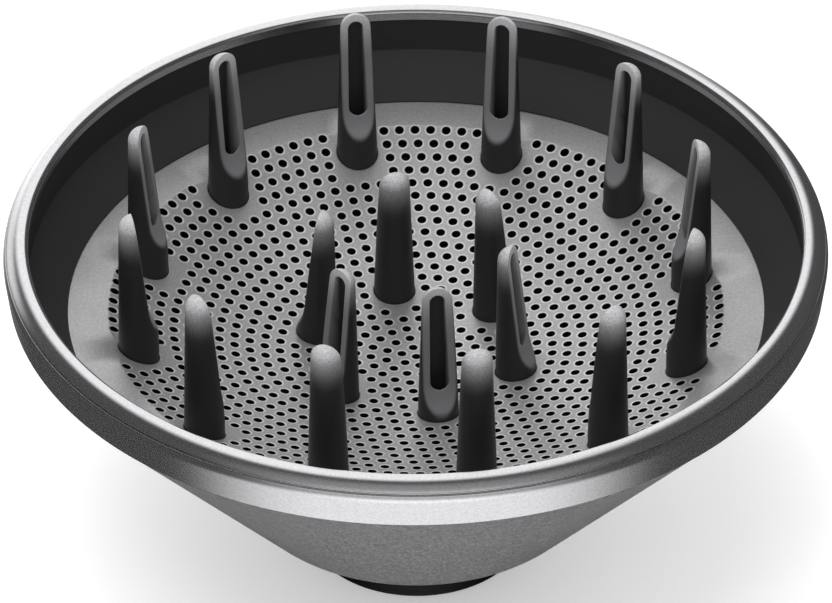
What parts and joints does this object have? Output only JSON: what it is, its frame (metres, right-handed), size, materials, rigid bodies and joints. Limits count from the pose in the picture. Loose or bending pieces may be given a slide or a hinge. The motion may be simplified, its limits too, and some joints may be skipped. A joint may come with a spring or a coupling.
{
  "type": "hair dryer diffuser",
  "caption": "Bowl-shaped hair dryer diffuser with a rounded rim, a dished perforated plate, slotted hollow prongs and a push-on collar.",
  "frame": {"origin": "middle of the collar's lower end face, where the diffuser stands", "axes": "+Z along the bowl's axis from the collar to the prongs, +X through one prong of the outer ring"},
  "size_m": [0.138, 0.138, 0.074],
  "materials": {
    "bowl_paint": "satin metallic grey",
    "rim_paint": "satin metallic grey, brighter round the rim",
    "liner_plastic": "fine matte, charcoal",
    "inner_plastic": "matte black",
    "collar_plastic": "smooth black",
    "silicone": "matte black silicone",
    "plate_metal": "satin, perforated",
    "prong_plastic": "fine matte, charcoal",
    "screw_steel": "zinc plated"
  },
  "bodies": {
    "root": {"collar": "collar_plastic", "collar_screws": "screw_steel", "flow_deflector": "inner_plastic", "funnel": "inner_plastic", "inner_prong_1": "prong_plastic", "inner_prong_2": "prong_plastic", "inner_prong_3": "prong_plastic", "inner_prong_4": "prong_plastic", "inner_prong_5": "prong_plastic", "inner_prong_6": "prong_plastic", "liner": "liner_plastic", "lip_ring": "rim_paint", "outer_bowl": "bowl_paint", "outer_prong_01": "prong_plastic", "outer_prong_02": "prong_plastic", "outer_prong_03": "prong_plastic", "outer_prong_04": "prong_plastic", "outer_prong_05": "prong_plastic", "outer_prong_06": "prong_plastic", "outer_prong_07": "prong_plastic", "outer_prong_08": "prong_plastic", "outer_prong_09": "prong_plastic", "outer_prong_10": "prong_plastic", "outer_prong_11": "prong_plastic", "outer_prong_12": "prong_plastic", "outlet_gasket": "silicone", "perforated_plate": "plate_metal", "prong_retainer": "inner_plastic", "rim_band": "rim_paint"}
  },
  "joints": []
}
